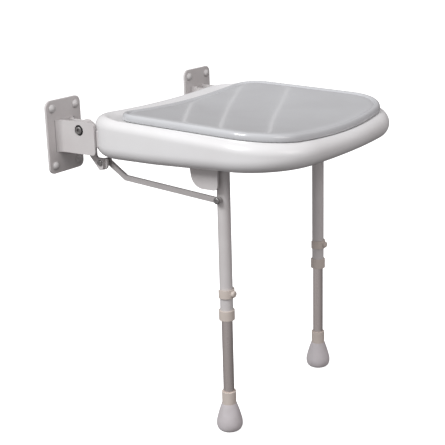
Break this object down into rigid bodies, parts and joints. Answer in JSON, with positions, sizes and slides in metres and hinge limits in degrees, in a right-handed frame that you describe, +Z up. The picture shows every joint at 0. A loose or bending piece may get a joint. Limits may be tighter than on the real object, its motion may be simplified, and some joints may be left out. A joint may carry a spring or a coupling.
{
  "type": "wall-mounted fold-up shower seat",
  "caption": "Padded seat that folds up against a wall on pivoting brackets, held level by link bars and two height-adjustable legs with rubber feet.",
  "frame": {"origin": "on the wall plane, midway between the two wall plates and at the height of their centres", "axes": "+X to the right seen from the front, +Y into the wall (the seat projects towards -Y), +Z up"},
  "size_m": [0.482, 0.472, 0.5675],
  "materials": {
    "painted_steel": "satin",
    "link_steel": "satin",
    "fastener_steel": "satin",
    "seat_moulding": "gloss",
    "pad_skin": "gloss",
    "white_plastic": "gloss",
    "cream_plastic": "satin",
    "bush_plastic": "satin",
    "polished_tube": "polished",
    "foot_rubber": "matte"
  },
  "bodies": {
    "wall_brackets": {"bracket_webs": "painted_steel", "link_lugs": "painted_steel", "pivot_bushes": "bush_plastic", "pivot_washers": "fastener_steel", "pivot_bolts": "fastener_steel", "pivot_nuts": "fastener_steel", "link_pins_rear": "fastener_steel", "link_spacers_rear": "fastener_steel", "wall_plate_left": "painted_steel", "wall_plate_right": "painted_steel", "screw_caps_left": "white_plastic", "screw_caps_right": "white_plastic", "bracket_outer_ear_left": "painted_steel", "bracket_outer_ear_right": "painted_steel", "bracket_inner_ear_left": "painted_steel", "bracket_inner_ear_right": "painted_steel"},
    "seat": {"seat_shell": "seat_moulding", "seat_pad": "pad_skin", "pad_studs": "pad_skin", "rear_rail": "painted_steel", "front_rail": "painted_steel", "pivot_liners": "bush_plastic", "arm_end_caps": "bush_plastic", "leg_pivot_pins": "fastener_steel", "leg_pivot_nuts": "fastener_steel", "leg_pivot_spacers": "bush_plastic", "side_arm_left": "painted_steel", "side_arm_right": "painted_steel", "arm_knuckle_left": "painted_steel", "arm_knuckle_right": "painted_steel", "leg_bracket_left": "painted_steel", "leg_bracket_right": "painted_steel"},
    "leg_left": {"leg_upper_tube_left": "painted_steel", "leg_head_left": "painted_steel", "link_pin_front_left": "fastener_steel", "link_spacer_front_left": "fastener_steel", "leg_end_sleeve_left": "cream_plastic"},
    "link_left": {"link_bar_left": "link_steel"},
    "lower_leg_left": {"leg_lower_tube_left": "polished_tube", "foot_collar_left": "cream_plastic", "foot_tip_left": "foot_rubber", "foot_washer_left": "fastener_steel"},
    "clip_left": {"lock_clip_left": "cream_plastic"},
    "leg_right": {"leg_upper_tube_right": "painted_steel", "leg_head_right": "painted_steel", "link_pin_front_right": "fastener_steel", "link_spacer_front_right": "fastener_steel", "leg_end_sleeve_right": "cream_plastic"},
    "link_right": {"link_bar_right": "link_steel"},
    "lower_leg_right": {"leg_lower_tube_right": "polished_tube", "foot_collar_right": "cream_plastic", "foot_tip_right": "foot_rubber", "foot_washer_right": "fastener_steel"},
    "clip_right": {"lock_clip_right": "cream_plastic"}
  },
  "joints": [
    {"name": "seat_fold", "type": "hinge", "parent": "wall_brackets", "child": "seat", "pos_m": [0, -0.05, 0.014], "axis": [-1, 0, 0], "range_deg": [0, 90]},
    {"name": "leg_fold_left", "type": "hinge", "parent": "seat", "child": "leg_left", "pos_m": [-0.156, -0.282, -0.027], "axis": [1, 0, 0], "range_deg": [0, 90]},
    {"name": "link_swing_left", "type": "hinge", "parent": "wall_brackets", "child": "link_left", "pos_m": [-0.172, -0.076, -0.044], "axis": [-1, 0, 0], "range_deg": [0, 90]},
    {"name": "leg_height_left", "type": "slide", "parent": "leg_left", "child": "lower_leg_left", "axis": [0, 0, -1], "range_m": [-0.025, 0.1]},
    {"name": "clip_release_left", "type": "slide", "parent": "leg_left", "child": "clip_left", "axis": [0, -1, 0], "range_m": [0, 0.03]},
    {"name": "leg_fold_right", "type": "hinge", "parent": "seat", "child": "leg_right", "pos_m": [0.156, -0.282, -0.027], "axis": [1, 0, 0], "range_deg": [0, 90]},
    {"name": "link_swing_right", "type": "hinge", "parent": "wall_brackets", "child": "link_right", "pos_m": [0.172, -0.076, -0.044], "axis": [-1, 0, 0], "range_deg": [0, 90]},
    {"name": "leg_height_right", "type": "slide", "parent": "leg_right", "child": "lower_leg_right", "axis": [0, 0, -1], "range_m": [-0.025, 0.1]},
    {"name": "clip_release_right", "type": "slide", "parent": "leg_right", "child": "clip_right", "axis": [0, -1, 0], "range_m": [0, 0.03]}
  ],
  "couplings": [
    {"joint": "leg_fold_left", "follows": "seat_fold", "ratio": 1},
    {"joint": "link_swing_left", "follows": "seat_fold", "ratio": 1},
    {"joint": "leg_fold_right", "follows": "seat_fold", "ratio": 1},
    {"joint": "link_swing_right", "follows": "seat_fold", "ratio": 1}
  ]
}
